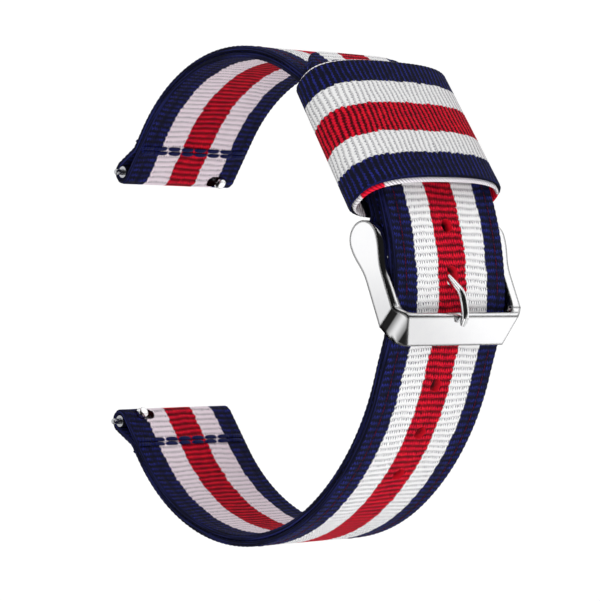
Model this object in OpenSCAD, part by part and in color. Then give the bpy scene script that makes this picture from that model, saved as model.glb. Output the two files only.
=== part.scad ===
// Two-piece nylon watch strap with quick-release spring bars, shown buckled.
// The strap lies on its side: Z runs across the strap, along the wearer's wrist.
// The origin is the centre of the round part of the loop, half way across the strap.
// The buckle is towards +X, the gap for the watch head towards -X,
// the buckle (short) strap runs over +Y and the hole (long) strap over -Y.

/* [Webbing] */
// Width of the strap, which is the distance between the watch's lugs
strap_w = 20; // [16:1:24]
// Thickness of one ply of webbing; each strap is two plies sewn together
ply_t = 0.85; // [0.7:0.05:1.0]
// Height of the rounded selvedge at each side of the strap
selvedge_h = 0.35; // [0.2:0.05:0.5]
// How far the selvedge draws in from each face
selvedge_inset = 0.12; // [0.05:0.01:0.2]
// Width of the groove that shows between the two plies
ply_groove = 0.12; // [0.06:0.02:0.2]
// Length over which the fold round a watch bar runs out into the flat strap
fold_run = 4.2; // [3.6:0.2:4.4]
// The same length at the buckle's bar
buckle_fold_run = 3; // [2.6:0.2:3.4]

/* [Loop] */
// Inner radius of the round part of the loop, on the buckle strap
loop_r = 33.4; // [30:0.2:38]
// Angle up to which the buckle strap stays on that radius
upper_arc = 62; // [58:1:66]
// Inner radius of the buckle strap's curl towards the watch
upper_curl_r = 22.9; // [20:0.5:26]
// Angle of that curl
upper_curl_arc = 82; // [74:1:88]
// Straight length beside the upper lug
upper_end_len = 7.5; // [6.5:0.5:10]
// Angle up to which the hole strap stays on its round part, below the buckle
lower_arc = 53; // [48:1:58]
// Inner radius of the hole strap's curl towards the watch
lower_curl_r = 25.1; // [22:0.5:28]
// Angle of that curl
lower_curl_arc = 90; // [82:1:96]
// Straight length beside the lower lug
lower_end_len = 6.8; // [6.5:0.5:10]
// Gap between the tail and the buckle strap under it
lay_gap = 0.2; // [0.1:0.05:0.4]
// How far the hole strap draws in below the buckle
step_in = 1.1; // [0.6:0.1:1.6]

/* [Tail] */
// Length of the tail beyond the tongue hole, along its inner face
tail_len = 36; // [34:1:40]
// Radius of the two corners of the tail's tip
tip_corner_r = 5; // [3:0.5:8]
// Diameter of the punched holes
hole_d = 2; // [1.8:0.1:2.3]
// Distance between the holes
hole_pitch = 6.8; // [6:0.2:8]
// Holes below the one in use
holes_below = 4; // [2:1:5]
// Holes above the one in use
holes_above = 2; // [1:1:3]
// Angle of the hole in use
tongue_hole_angle = 3; // [2.6:0.1:3.4]
// How far the tongue draws that hole out towards the tip
stretch_up = 1.9; // [1.7:0.1:2.3]
// How far it draws the hole out the other way
stretch_down = 0.9; // [0.7:0.1:1.4]

/* [Keeper] */
// Angle of the keeper's middle
keeper_angle = 36.4; // [36:0.2:38]
// Length of the keeper, which is the width of its webbing
keeper_len = 19.5; // [18:0.5:20]
// Thickness of the keeper's webbing
keeper_t = 0.9; // [0.7:0.05:1.1]
// Room beside the straps inside the keeper
keeper_side = 1.5; // [1.2:0.1:2]
// Room between the keeper and the corners of the straps in it
keeper_gap = 0.1; // [0.05:0.05:0.3]
// Squareness of the keeper's oval, where 2 is an ellipse
keeper_square = 2.8; // [2.6:0.1:3.4]

/* [Buckle] */
// Angle of the buckle's bar
pin_angle = 12.1; // [11.6:0.1:12.4]
// Gap between the buckle's arms and the strap's edge
frame_gap = 0.3; // [0.2:0.05:0.5]
// Thickness of the buckle's arms
arm_t = 1.5; // [1.2:0.1:2]
// Radius of the round end of each arm
boss_r = 2.5; // [2.2:0.05:2.7]
// Width of an arm half way down
arm_w = 3.05; // [2.8:0.05:3.3]
// Lean of the arms away from the strap
arm_lean = 22.8; // [22:0.2:24]
// Distance from the bar to the upper edge of the front bar's face, down the arm
front_drop = 9.75; // [9.5:0.05:10.2]
// Distance from the bar to that edge, outwards
front_out = 6.5; // [6.4:0.05:6.8]
// Height of the front bar's face
front_h = 4.1; // [3.6:0.1:4.4]
// Thickness of the front bar
front_t = 1.3; // [1:0.1:1.4]
// Lean of the front bar's face towards the strap
front_lean = 24; // [20:1:26]
// How far that face's upper edge reaches past the strap's edge, to its corner facet
face_past_strap = 0.1; // [-0.5:0.1:0.5]
// Bevel above that edge
front_bevel = 0.5; // [0.2:0.05:0.6]
// Radius of the rounded corner under each arm
foot_r = 1.6; // [1.2:0.1:1.8]
// Radius of the opening's corners, between the arms and the front bar
corner_r = 1.3; // [0.8:0.1:1.6]

/* [Tongue] */
// Width of the tongue, across the strap
tongue_w = 1.15; // [0.9:0.05:1.3]
// Thickness of the tongue
tongue_t = 1; // [0.8:0.05:1.1]
// Lean of the tongue to one side, in its loose ring
tongue_skew = 3; // [0:0.5:3.5]
// Wall of the ring that holds the tongue on the bar
ring_t = 0.65; // [0.5:0.05:0.75]
// Width of the ring
ring_w = 2.2; // [1.8:0.1:2.6]
// Room on each side of the ring, in the fold's window
window_gap = 0.3; // [0.2:0.05:0.6]

/* [Spring bars] */
// Outer diameter of each bar's tube
bar_d = 1.65; // [1.65:0.05:1.8]
// Wall of the tube
bar_wall = 0.2; // [0.16:0.01:0.22]
// Diameter of the tips that enter the lugs and the buckle
tip_d = 0.8; // [0.7:0.05:0.9]
// How far the tips of the watch bars stand out of the tube
tip_len = 1.3; // [1:0.1:1.5]
// How far the tips of the buckle's bar enter its arms
tip_in_arm = 0.9; // [0.7:0.05:1]
// Length of each tip's shank inside the tube
shank_len = 4.4; // [4:0.1:5]
// Distance of the release knob from the end of the tube
knob_inset = 2.9; // [2.6:0.1:3.2]
// Diameter of the release knob
knob_d = 1.7; // [1.4:0.1:1.9]
// Height of the release knob above the strap's inner face
knob_out = 0.75; // [0.5:0.05:1]
// Diameter of the knob's stem
stem_d = 0.6; // [0.5:0.05:0.7]
// How far a release knob slides
release_travel = 1.3; // [1:0.1:1.4]
// Diameter of the springs' wire
wire_d = 0.16; // [0.12:0.01:0.2]
// Turns of a watch bar's spring
release_turns = 12; // [8:1:14]
// Turns of the buckle bar's spring
buckle_turns = 10; // [8:1:14]

/* [Sewing] */
// Length of one stitch
stitch_len = 1.9; // [1.5:0.1:2.2]
// Distance from one stitch to the next
stitch_pitch = 2.15; // [1.8:0.05:2.5]
// Thickness of the sewing thread
thread_d = 0.36; // [0.2:0.02:0.5]
// Distance between the two rows of a cross seam
row_gap = 0.8; // [0.6:0.05:1]
// Distance of the first row from the bar's axis
row_from_bar = 4.6; // [4.4:0.1:5.2]
// Distance of the tip's seam from the end of the tail
tip_row_in = 3; // [2:0.5:4]
// Width left clear of stitches in each seam, both ends together
stitch_margin = 2; // [1:0.5:4]

/* [Hidden] */
$fn = 64;

navy = [0.07, 0.08, 0.26];
chrome = [0.8, 0.82, 0.84];
steel = [0.6, 0.62, 0.64];

// Clearances of what turns or slides in something else, and how far cuts overshoot
running_gap = 0.05;
press_gap = 0.01;
end_play = 0.1;
cut_over = 1;
lip_t = 0.3;
tip_bevel = 0.12;
arc_step = 3;
fold_step = 12;

strap_t = 2 * ply_t;
bar_r = bar_d / 2;
bore_r = bar_r - bar_wall;
tip_r = tip_d / 2;
eye_r = bar_r + running_gap;
fold_r = eye_r + ply_t;
tail_r = loop_r + strap_t + lay_gap;
low_r = tail_r - step_in;
half_w = strap_w / 2;

// A fold widens the strap on one side of the bar, and leaves the bar's eye at this angle
fold_bulge = 2 * fold_r - strap_t;
function fold_lead(run) = atan(fold_bulge / run);

function polar(r, a) = [r * cos(a), r * sin(a)];
function smooth(u) = u <= 0 ? 0 : u >= 1 ? 1 : u * u * (3 - 2 * u);
function arc(c, r, a0, a1, step) =
    let (n = ceil(abs(a1 - a0) / step))
    [for (i = [0:n]) c + polar(r, a0 + (a1 - a0) * i / n)];

// Buckle's bar: its fold lies flush with the outer face of the buckle strap
pin_r = loop_r + strap_t - fold_r;
pin_at = polar(pin_r, pin_angle);

// The hole strap runs on its side of the loop with angles counted downwards:
// the tail, over the buckle's bar, is at negative angles and the watch end at positive ones
drop_from = 0;
drop_to = 17;
function hole_strap_r(a) = tail_r - step_in * smooth((a - drop_from) / (drop_to - drop_from));
tip_angle = tongue_hole_angle + tail_len / tail_r * 180 / PI;

// Where a strap's curl ends: its centre, its last angle and the bar's axis
function curl_centre(r, a, curl_r) = polar(r - curl_r, a);
function end_dir(a) = [-sin(a), cos(a)];
function end_point(r, a, curl_r, curl_a, len, off) =
    curl_centre(r, a, curl_r) + polar(curl_r + off, a + curl_a) + len * end_dir(a + curl_a);

upper_end_angle = upper_arc + upper_curl_arc;
lower_end_angle = lower_arc + lower_curl_arc;
upper_bar_at = end_point(loop_r, upper_arc, upper_curl_r, upper_curl_arc, upper_end_len, fold_r);
lower_bar_mirrored = end_point(low_r, lower_arc, lower_curl_r, lower_curl_arc, lower_end_len, fold_r);
lower_bar_at = [lower_bar_mirrored[0], -lower_bar_mirrored[1]];

// Curl and straight end of one face, at a distance off from the inner face, short by cut
function watch_end(r, a, curl_r, curl_a, len, off, cut) = concat(
    arc(curl_centre(r, a, curl_r), curl_r + off, a, a + curl_a, arc_step),
    [end_point(r, a, curl_r, curl_a, len - cut, off)]
);

// Round part of the buckle strap and of the hole strap, at a distance off from the inner face
function buckle_round(off, a0) = arc([0, 0], loop_r + off, a0, upper_arc - arc_step, arc_step);
function hole_round(off) =
    let (n = ceil((tip_angle + lower_arc) / arc_step), step = (tip_angle + lower_arc) / n)
    [for (i = [0:n - 1]) let (a = i * step - tip_angle) polar(hole_strap_r(a) + off, a)];

function back(list) = [for (i = [len(list) - 1:-1:0]) list[i]];
function lug_fold(at, a, inset) = arc(at, fold_r - inset, a + 180, a - fold_lead(fold_run), fold_step);

// Side view of the whole buckle strap: inner face, fold at the watch, outer face, fold at the buckle
pin_run_angle = pin_angle + buckle_fold_run / loop_r * 180 / PI;
function upper_end(off, cut) =
    watch_end(loop_r, upper_arc, upper_curl_r, upper_curl_arc, upper_end_len, off, cut);
module buckle_strap_side(inset) {
    polygon(concat(
        buckle_round(inset, pin_run_angle),
        upper_end(inset, 0),
        lug_fold(upper_bar_at, upper_end_angle, inset),
        back(upper_end(strap_t - inset, fold_run)),
        back(buckle_round(strap_t - inset, pin_angle + arc_step)),
        arc(pin_at, fold_r - inset, pin_angle, pin_angle - 180 - fold_lead(buckle_fold_run), fold_step)
    ));
}

function lower_end(off, cut) =
    watch_end(low_r, lower_arc, lower_curl_r, lower_curl_arc, lower_end_len, off, cut);
module hole_strap_side(inset) {
    polygon(concat(
        hole_round(inset),
        lower_end(inset, 0),
        lug_fold(lower_bar_mirrored, lower_end_angle, inset),
        back(lower_end(strap_t - inset, fold_run)),
        back(hole_round(strap_t - inset))
    ));
}

// Line between the two plies, as a thin band that runs a little way into the folds' slack
groove_lap = 0.2;
module buckle_ply_line() {
    lo = ply_t - ply_groove / 2;
    hi = ply_t + ply_groove / 2;
    polygon(concat(
        buckle_round(lo, pin_run_angle),
        upper_end(lo, fold_run - groove_lap),
        back(upper_end(hi, fold_run - groove_lap)),
        back(buckle_round(hi, pin_run_angle))
    ));
}

module hole_ply_line() {
    lo = ply_t - ply_groove / 2;
    hi = ply_t + ply_groove / 2;
    polygon(concat(
        hole_round(lo),
        lower_end(lo, fold_run - groove_lap),
        back(lower_end(hi, fold_run - groove_lap)),
        back(hole_round(hi))
    ));
}

module across(w) {
    translate([0, 0, -w / 2])
        linear_extrude(w) children();
}

// Rounded sides: child 0 is the full outline, child 1 the drawn-in one, child 2 the line between the plies
module woven_band() {
    difference() {
        union() {
            across(strap_w - 2 * selvedge_h) children(0);
            across(strap_w) children(1);
        }
        for (side = [-1, 1])
            translate([0, 0, side * half_w])
                across(2 * selvedge_h) children(2);
    }
}

// Turned so that X points out of the loop at an angle of the round part
module at_angle(a) {
    rotate([0, 0, a]) children();
}

// Turned so that X points out of the strap beside a bar, with the bar at the origin
module at_bar(at, a) {
    translate([at[0], at[1], 0])
        rotate([0, 0, a]) children();
}

module upper_side() {
    at_bar(upper_bar_at, upper_end_angle) children();
}

// The lower bar is the upper one turned over, so its knob is at the other edge
module lower_side() {
    mirror([0, 1, 0])
        at_bar(lower_bar_mirrored, lower_end_angle)
            mirror([0, 0, 1]) children();
}

// Eye for the bar, with the slack between the plies beyond it
module bar_eye(run) {
    cylinder(r = eye_r, h = strap_w + 2 * cut_over, center = true);
    across(strap_w + 2 * cut_over)
        polygon([
            [-eye_r, 0],
            [-eye_r, -run],
            polar(eye_r, -fold_lead(run))
        ]);
}

// Opening in the inner ply that the release knob slides in
knob_slot_w = knob_d + 4 * running_gap;
knob_z = half_w - end_play - knob_inset;
module knob_window() {
    low = knob_z - release_travel - knob_slot_w / 2;
    translate([-fold_r - cut_over, -knob_slot_w / 2, -knob_z - knob_slot_w / 2])
        cube([fold_r + cut_over, knob_slot_w, release_travel + knob_slot_w]);
}

module radial_hole(a, d) {
    at_angle(a)
        translate([low_r - cut_over, 0, 0])
            rotate([0, 90, 0])
                cylinder(d = d, h = tail_r - low_r + strap_t + 2 * cut_over);
}

function tail_angle(len) = len / tail_r * 180 / PI;
module punched_holes() {
    for (i = [-holes_below:holes_above])
        if (i != 0)
            radial_hole(tongue_hole_angle + i * tail_angle(hole_pitch), hole_d);
}

// The hole in use, drawn out along the strap by the tongue
module stretched_hole() {
    radial_hole(tongue_hole_angle + tail_angle(stretch_up), hole_d);
    radial_hole(tongue_hole_angle - tail_angle(stretch_down), hole_d);
    at_angle(tongue_hole_angle)
        translate([low_r - cut_over, -stretch_down, -hole_d / 2])
            cube([tail_r - low_r + strap_t + 2 * cut_over, stretch_up + stretch_down, hole_d]);
}

module tip_corners() {
    over = tip_corner_r + cut_over;
    for (side = [0, 1])
        mirror([0, 0, side])
            at_angle(tip_angle)
                translate([tail_r - cut_over, -tip_corner_r, half_w - tip_corner_r])
                    difference() {
                        cube([strap_t + 2 * cut_over, over, over]);
                        translate([-cut_over, 0, 0])
                            rotate([0, 90, 0])
                                cylinder(r = tip_corner_r, h = strap_t + 4 * cut_over);
                    }
}

module buckle_strap() {
    color(navy)
        difference() {
            woven_band() {
                buckle_strap_side(0);
                buckle_strap_side(selvedge_inset);
                buckle_ply_line();
            }
            upper_side() {
                bar_eye(fold_run);
                knob_window();
            }
            at_pin() {
                rotate([0, 0, pin_angle + 180]) bar_eye(buckle_fold_run);
                tongue_window();
            }
        }
}

// Window in the buckle fold for the tongue's ring
window_r = fold_r + cut_over;
module tongue_window() {
    w = ring_w + 2 * window_gap;
    cylinder(r = window_r, h = w, center = true);
}

module hole_strap() {
    color(navy)
        difference() {
            mirror([0, 1, 0])
                woven_band() {
                    hole_strap_side(0);
                    hole_strap_side(selvedge_inset);
                    hole_ply_line();
                }
            lower_side() {
                bar_eye(fold_run);
                knob_window();
            }
            punched_holes();
            stretched_hole();
            tip_corners();
        }
}

// The keeper is a straight loop of the same webbing, so the strap's bend needs room inside it.
// Its section is a squarish oval that just clears the corners of the two straps.
keeper_stack_out = tail_r + strap_t;
keeper_stack_in = sqrt(pow(loop_r, 2) - pow(keeper_len / 2, 2));
keeper_mid_r = (keeper_stack_out + keeper_stack_in) / 2;
keeper_in_w = half_w + keeper_side;
keeper_corner = (keeper_stack_out - keeper_stack_in) / 2 - selvedge_inset + keeper_gap;
keeper_in_t = keeper_corner / pow(1 - pow(half_w / keeper_in_w, keeper_square), 1 / keeper_square);
oval_sides = 48;
function bulged(x) = sign(x) * pow(abs(x), 2 / keeper_square);
module oval(half_t, half_len) {
    turn = 360 / oval_sides;
    polygon([for (i = [0:oval_sides - 1])
        [half_t * bulged(sin(turn * i)), half_len * bulged(cos(turn * i))]]);
}

module keeper() {
    color(navy)
        at_angle(keeper_angle)
            translate([keeper_mid_r, -keeper_len / 2, 0])
                rotate([-90, 0, 0])
                    linear_extrude(keeper_len)
                        difference() {
                            oval(keeper_in_t + keeper_t, keeper_in_w + keeper_t);
                            oval(keeper_in_t, keeper_in_w);
                        }
}

// One row of stitches across the strap, lying on a face that looks along X
module stitch_row(w) {
    count = floor((w - stitch_len) / stitch_pitch) + 1;
    for (i = [0:count - 1])
        translate([thread_d / 2 * cos(22.5) + press_gap, 0, (i - (count - 1) / 2) * stitch_pitch])
            rotate([0, 0, 22.5])
                cylinder(d = thread_d, h = stitch_len, center = true, $fn = 8);
}

stitched_w = strap_w - stitch_margin;
module cross_seam() {
    for (row = [0, 1])
        translate([0, -row_from_bar - row * row_gap, 0]) {
            translate([strap_t - fold_r, 0, 0]) stitch_row(stitched_w);
            translate([-fold_r, 0, 0]) mirror([1, 0, 0]) stitch_row(stitched_w);
        }
}

module upper_lug_stitches() {
    color(navy) upper_side() cross_seam();
}

module lower_lug_stitches() {
    color(navy) lower_side() cross_seam();
}

module buckle_fold_stitches() {
    color(navy)
        for (row = [0, 1])
            at_angle(pin_angle + (row_from_bar + row * row_gap) / loop_r * 180 / PI)
                translate([loop_r, 0, 0])
                    mirror([1, 0, 0]) stitch_row(stitched_w);
}

module tail_tip_stitches() {
    color(navy)
        at_angle(tip_angle - tip_row_in / tail_r * 180 / PI)
            translate([tail_r + strap_t, 0, 0]) stitch_row(strap_w - 2 * tip_corner_r);
}

// Seam that closes the keeper, on its wall towards the wrist
module keeper_stitches() {
    color(navy)
        at_angle(keeper_angle)
            for (row = [-1, 1])
                translate([keeper_mid_r - keeper_in_t - keeper_t, 0, row * row_gap / 2])
                    rotate([90, 0, 0])
                        mirror([1, 0, 0]) stitch_row(keeper_len - stitch_margin);
}

// Buckle, drawn around its bar: X points out of the loop and Y up the strap
frame_in = half_w + frame_gap;
frame_out = frame_in + arm_t;
face_top = [front_out, -front_drop];
face_down = [-sin(front_lean), -cos(front_lean)];
face_norm = [cos(front_lean), -sin(front_lean)];
face_low = face_top + front_h * face_down;
bevel_slope = 0.7;
bevel_top = face_top + front_bevel * [-bevel_slope, 1];

function bezier(p, n) =
    [for (i = [0:n]) let (t = i / n, s = 1 - t)
        s * s * s * p[0] + 3 * s * s * t * p[1] + 3 * s * t * t * p[2] + t * t * t * p[3]];

// A point of an arm: u down its middle line from the bar, v outwards
function on_arm(u, v) = u * [sin(arm_lean), -cos(arm_lean)] + v * [cos(arm_lean), sin(arm_lean)];

// Side view of an arm: a round end at the bar, a leaning shank that thins to its waist,
// and a foot that carries the front bar, with its lower corner rounded
waist_u = 5.2;
foot_u = 10;
foot_arc = arc(face_low + [0, foot_r], foot_r, 270, 180, fold_step);
function arm_waist(side) =
    let (end = side * boss_r, waist = side * arm_w / 2, pull = waist_u * 0.4)
    bezier([on_arm(0, end), on_arm(pull, end), on_arm(waist_u - pull, waist), on_arm(waist_u, waist)], 8);
module arm_side() {
    circle(r = boss_r);
    polygon(concat(
        arm_waist(1),
        [on_arm(foot_u, arm_w / 2), bevel_top, face_top],
        foot_arc,
        [on_arm(foot_u + foot_r, -arm_w / 2)],
        back(arm_waist(-1))
    ));
}

// The front bar shares the arm's outline as far back as its own thickness
module front_side() {
    polygon(concat(
        [bevel_top, face_top],
        [for (p = foot_arc) if ((face_low - p) * face_norm < front_t) p],
        [face_low - front_t * face_norm, face_top - front_t * face_norm]
    ));
}

// Rounded corner of the opening between the arms, along an arm's front edge
corner_lap = 0.2;
corner_step = 15;
corner_depth = 0.6;
module opening_corner() {
    rise = bevel_top[1] - corner_lap;
    intersection() {
        translate([0, 0, frame_in - corner_r])
            linear_extrude(corner_r + corner_lap)
                intersection() {
                    arm_side();
                    polygon([
                        on_arm(waist_u, arm_w / 2 - corner_depth),
                        on_arm(waist_u, arm_w),
                        on_arm(2 * foot_u, arm_w),
                        on_arm(2 * foot_u, arm_w / 2 - corner_depth)
                    ]);
                }
        rotate([0, 90, 0])
            linear_extrude(2 * front_out)
                polygon(concat(
                    [[-frame_in - corner_lap, rise], [-frame_in - corner_lap, bevel_top[1] + corner_r]],
                    arc([corner_r - frame_in, bevel_top[1] + corner_r], corner_r, 180, 270, corner_step),
                    [[corner_r - frame_in, rise]]
                ));
    }
}

// Metal behind the front bar's ends, which the corner facets cut into
gusset = 0.5;
module corner_gusset() {
    intersection() {
        translate([0, 0, frame_in - corner_r])
            linear_extrude(corner_r + corner_lap) arm_side();
        translate([face_top[0], face_top[1], frame_in])
            rotate([90, 0, -front_lean])
                linear_extrude(2 * front_h)
                    polygon([
                        [corner_lap - front_t, -gusset], [corner_lap - front_t, corner_lap],
                        [-front_t - gusset, corner_lap], [-front_t, -gusset]
                    ]);
    }
}

// Facet that takes off the outer corner between an arm's side and the front face,
// square to a line that points out of the loop, down and to the side
facet_turn = -43;
facet_rise = 44;
module corner_facet() {
    reach = 2 * front_h + arm_t;
    translate([face_top[0], face_top[1], half_w + face_past_strap])
        rotate([0, -facet_rise, facet_turn])
            translate([0, -reach, -reach])
                cube([reach, 2 * reach, 2 * reach]);
}

module at_pin() {
    translate([pin_at[0], pin_at[1], 0]) children();
}

module buckle_frame() {
    color(chrome)
        at_pin()
            difference() {
                union() {
                    for (side = [-1, 1])
                        translate([0, 0, side * (frame_in + arm_t / 2)])
                            across(arm_t) arm_side();
                    across(2 * frame_out) front_side();
                    for (side = [0, 1])
                        mirror([0, 0, side]) {
                            opening_corner();
                            corner_gusset();
                        }
                }
                for (side = [0, 1])
                    mirror([0, 0, side]) {
                        translate([0, 0, frame_in - cut_over])
                            cylinder(r = tip_r + running_gap, h = tip_in_arm + running_gap + cut_over);
                        corner_facet();
                    }
            }
}

// The tongue's middle line: down from its ring, slanting out through the hole,
// and round a knee onto the front bar's face
tongue_rest_gap = 0.1;
tongue_reach = 1;
tongue_root = polar(eye_r + ring_t / 2, -65);
root_pull = [0.25, -1.4];
tongue_slant = 39;
slant_dir = polar(1, -tongue_slant);
tongue_in_hole = [3.3, -4.3];
tongue_out = face_top + (tongue_t / 2 + tongue_rest_gap) * face_norm;
knee_r = 1.4;
knee_pull = [0, 1.3];
knee_len = (tongue_out[0] - tongue_in_hole[0]) / cos(tongue_slant) - knee_r;
tongue_knee = tongue_in_hole + knee_len * slant_dir;
tongue_line = concat(
    bezier([tongue_root, tongue_root + root_pull, tongue_in_hole - knee_r * slant_dir, tongue_in_hole], 8),
    bezier([tongue_knee, tongue_knee + knee_r / 2 * slant_dir, tongue_out + knee_pull, tongue_out], 8),
    [for (i = [1:4]) tongue_out + i / 4 * tongue_reach * face_down]
);

// A solid swept along points of the XY plane, leaning to one side by an angle on the way down.
// sizes holds each ring's half thickness and half width
module swept(points, sizes, sides, skew) {
    n = len(points);
    rings = [for (i = [0:n - 1])
        let (p = points[i], d = points[min(i + 1, n - 1)] - points[max(i - 1, 0)], u = d / norm(d))
        for (k = [0:sides - 1])
            let (a = 360 * k / sides, x = sizes[i][0] * cos(a))
            [p[0] - u[1] * x, p[1] + u[0] * x, sizes[i][1] * sin(a) - p[1] * tan(skew)]];
    skin = [for (i = [0:n - 2], k = [0:sides - 1])
        let (a = i * sides + k, b = i * sides + (k + 1) % sides)
        each [[a, b + sides, b], [a, a + sides, b + sides]]];
    ends = concat(
        [for (k = [1:sides - 2]) [0, k, k + 1]],
        [for (k = [1:sides - 2]) [(n - 1) * sides, (n - 1) * sides + k + 1, (n - 1) * sides + k]]
    );
    polyhedron(rings, concat(skin, ends));
}

function unique_line(list) =
    [for (i = [0:len(list) - 1]) if (i == 0 || norm(list[i] - list[i - 1]) > 0.01) list[i]];

module buckle_tongue() {
    line = unique_line(tongue_line);
    n = len(line);
    // The last rings close in to a rounded tip
    tip_rings = 5;
    shrink = [for (i = [0:n - 1]) let (u = max(0, (i + tip_rings - n) / tip_rings)) sqrt(1 - u * u)];
    color(chrome)
        at_pin()
            difference() {
                union() {
                    swept(line, [for (s = shrink) s * [tongue_t, tongue_w] / 2], 12, tongue_skew);
                    cylinder(r = eye_r + ring_t, h = ring_w, center = true);
                }
                cylinder(r = eye_r, h = ring_w + 2 * cut_over, center = true);
            }
}

// Spring bars, drawn along Z with the tube centred
module bar_tube(half_len) {
    difference() {
        cylinder(r = bar_r, h = 2 * half_len, center = true);
        cylinder(r = bore_r, h = 2 * (half_len - lip_t), center = true);
        cylinder(r = tip_r + running_gap, h = 2 * (half_len + cut_over), center = true);
    }
}

// A tip that stands out of the tube's upper end, with its thicker shank held in by the lip
// and a neck that tapers a little inside it
neck_in = 0.03;
neck_past_lip = 0.05;
module bar_tip(half_len, out, shank_r, shank) {
    translate([0, 0, half_len - lip_t - shank])
        cylinder(r = shank_r, h = shank);
    translate([0, 0, half_len])
        rotate_extrude()
            polygon([
                [0, -lip_t], [tip_r - neck_in, -lip_t], [tip_r, neck_past_lip],
                [tip_r, out - tip_bevel], [tip_r - tip_bevel, out], [0, out]
            ]);
}

// A coil spring between two heights, as one unbroken tube
coil_r = bore_r - running_gap - wire_d / 2;
coil_rings = 8;
coil_sides = 6;
module coil(low, high, turns) {
    n = turns * coil_rings;
    rise = (high - low - wire_d) / n;
    rings = [for (i = [0:n], k = [0:coil_sides - 1])
        let (a = 360 * i / coil_rings, b = 360 * k / coil_sides, r = coil_r + wire_d / 2 * cos(b))
        [r * cos(a), r * sin(a), low + wire_d / 2 + rise * i + wire_d / 2 * sin(b)]];
    skin = [for (i = [0:n - 1], k = [0:coil_sides - 1])
        let (a = i * coil_sides + k, b = i * coil_sides + (k + 1) % coil_sides)
        each [[a, b, b + coil_sides], [a, b + coil_sides, a + coil_sides]]];
    ends = concat(
        [for (k = [1:coil_sides - 2]) [0, k + 1, k]],
        [for (k = [1:coil_sides - 2]) [n * coil_sides, n * coil_sides + k, n * coil_sides + k + 1]]
    );
    echo("least gap between turns", rise * coil_rings - wire_d);
    polyhedron(rings, concat(skin, ends));
}

watch_half = half_w - end_play;
buckle_half = frame_in - end_play;
sliding_r = bore_r - running_gap;
fixed_r = bore_r - press_gap;
fixed_shank_share = 0.7;
fixed_shank = shank_len * fixed_shank_share;
stem_r = stem_d / 2;

// Slot in the tube's wall for the knob's stem
module stem_slot() {
    w = stem_d + 2 * running_gap;
    translate([-bar_r - cut_over, -w / 2, -knob_z - w / 2])
        cube([bar_r + cut_over, w, release_travel + w]);
}

module release_tube() {
    difference() {
        bar_tube(watch_half);
        stem_slot();
    }
}

module release_tip() {
    difference() {
        mirror([0, 0, 1])
            bar_tip(watch_half, tip_len, sliding_r, shank_len);
        translate([-bore_r - cut_over, 0, -knob_z])
            rotate([0, 90, 0])
                cylinder(r = stem_r + press_gap, h = bore_r + cut_over);
    }
}

module release_knob() {
    top = fold_r + knob_out;
    low = bar_r + 2 * running_gap;
    dome = 0.25;
    translate([0, 0, -knob_z])
        rotate([0, -90, 0])
            rotate_extrude()
                polygon([
                    [0, press_gap], [stem_r, press_gap], [stem_r, low], [knob_d / 2, low],
                    [knob_d / 2, top - dome], [knob_d / 2 - dome, top], [0, top]
                ]);
}

module release_spring() {
    coil(-watch_half + lip_t + shank_len, watch_half - lip_t - fixed_shank, release_turns);
}

module fixed_tip() {
    bar_tip(watch_half, tip_len, fixed_r, fixed_shank);
}

module upper_bar_tube() { color(steel) upper_side() release_tube(); }
module upper_bar_fixed_tip() { color(steel) upper_side() fixed_tip(); }
module upper_bar_release_tip() { color(steel) upper_side() release_tip(); }
module upper_bar_knob() { color(chrome) upper_side() release_knob(); }
module upper_bar_spring() { color(steel) upper_side() release_spring(); }

module lower_bar_tube() { color(steel) lower_side() release_tube(); }
module lower_bar_fixed_tip() { color(steel) lower_side() fixed_tip(); }
module lower_bar_release_tip() { color(steel) lower_side() release_tip(); }
module lower_bar_knob() { color(chrome) lower_side() release_knob(); }
module lower_bar_spring() { color(steel) lower_side() release_spring(); }

module buckle_bar_tip() {
    bar_tip(buckle_half, end_play + tip_in_arm, sliding_r, shank_len);
}

module buckle_bar_tube() { color(steel) at_pin() bar_tube(buckle_half); }
module buckle_bar_near_tip() { color(steel) at_pin() buckle_bar_tip(); }
module buckle_bar_far_tip() { color(steel) at_pin() mirror([0, 0, 1]) buckle_bar_tip(); }
module buckle_bar_spring() {
    reach = buckle_half - lip_t - shank_len;
    color(steel) at_pin() coil(-reach, reach, buckle_turns);
}

// Places that another part needs to know
echo("upper bar", upper_bar_at, "angle", upper_end_angle);
echo("lower bar", lower_bar_at, "angle", -lower_end_angle);
echo("buckle pin", pin_at);

buckle_strap();
hole_strap();
keeper();
upper_lug_stitches();
lower_lug_stitches();
buckle_fold_stitches();
tail_tip_stitches();
keeper_stitches();
buckle_frame();
buckle_tongue();
buckle_bar_tube();
buckle_bar_near_tip();
buckle_bar_far_tip();
buckle_bar_spring();
upper_bar_tube();
upper_bar_fixed_tip();
upper_bar_release_tip();
upper_bar_knob();
upper_bar_spring();
lower_bar_tube();
lower_bar_fixed_tip();
lower_bar_release_tip();
lower_bar_knob();
lower_bar_spring();
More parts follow.
